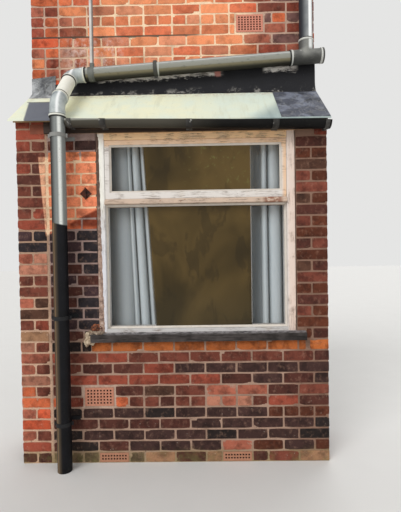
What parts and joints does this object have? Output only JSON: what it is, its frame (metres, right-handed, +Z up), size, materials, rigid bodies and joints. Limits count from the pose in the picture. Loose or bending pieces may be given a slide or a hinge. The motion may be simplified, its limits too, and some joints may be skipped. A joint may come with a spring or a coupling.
{
  "type": "bay window with lean-to roof",
  "caption": "Brick box bay window with a timber window and slate sill, under a pale lean-to roof with a gutter and a soil pipe.",
  "frame": {"origin": "on the ground, in the middle of the front wall's foot, at half the wall's thickness", "axes": "+Z up, +X to the right seen from the street side, +Y into the house"},
  "size_m": [2.5232, 0.7226, 3.872],
  "materials": {
    "bay_brick": "weathered dark red brick with pale mortar",
    "house_brick": "weathered orange red brick with cream mortar",
    "timber": "sawn softwood",
    "roof_sheet": "weathered pale coating on a roofing sheet",
    "fascia": "dark, weathered paint",
    "bitumen": "brushed black bitumen",
    "lead": "dull dressed lead",
    "gutter_plastic": "weathered black plastic",
    "plaster": "matt emulsion",
    "window_paint": "flaking white paint",
    "transom_paint": "worn primer and bare wood",
    "window_glass": "clear",
    "putty": "painted putty",
    "slate": "dark slate with worn edges",
    "fired_clay": "unglazed clay",
    "soil_pipe": "chalked dark grey",
    "soil_fitting": "chalked grey",
    "pale_pipe": "bleached pale grey",
    "waste_plastic": "dull white",
    "rusty_iron": "rusted",
    "rail_paint": "white",
    "curtain_fabric": "soft satin weave"
  },
  "bodies": {
    "root": {"front_wall": "bay_brick", "left_side_wall": "bay_brick", "right_side_wall": "bay_brick", "upper_wall": "house_brick", "house_beam": "timber", "window_lintel": "timber", "rafters": "timber", "roof_boards": "timber", "floor_joists": "timber", "floor_boards": "timber", "roof_sheet": "roof_sheet", "fascia_board": "fascia", "roof_flashing": "bitumen", "lead_corner": "lead", "lead_patch": "lead", "gutter": "gutter_plastic", "gutter_brackets": "gutter_plastic", "bay_ceiling": "plaster", "front_plaster": "plaster", "side_plaster": "plaster", "frame_jambs": "window_paint", "frame_head": "window_paint", "frame_bottom_rail": "window_paint", "top_sash": "window_paint", "window_board": "window_paint", "frame_transom": "transom_paint", "window_glass": "window_glass", "putty_beads": "putty", "window_sill": "slate", "upper_air_brick": "fired_clay", "apron_air_brick": "fired_clay", "low_air_bricks": "fired_clay", "downpipe": "soil_pipe", "soil_run": "soil_pipe", "soil_stack": "soil_pipe", "rodding_cap": "soil_pipe", "lower_elbow": "soil_fitting", "upper_elbow": "soil_fitting", "stack_tee": "soil_fitting", "pipe_brackets": "soil_fitting", "strap_boss": "soil_fitting", "offset_pipe": "pale_pipe", "waste_pipe": "waste_plastic", "wall_hook": "rusty_iron", "curtain_rail": "rail_paint", "left_curtain": "curtain_fabric", "right_curtain": "curtain_fabric"}
  },
  "joints": []
}
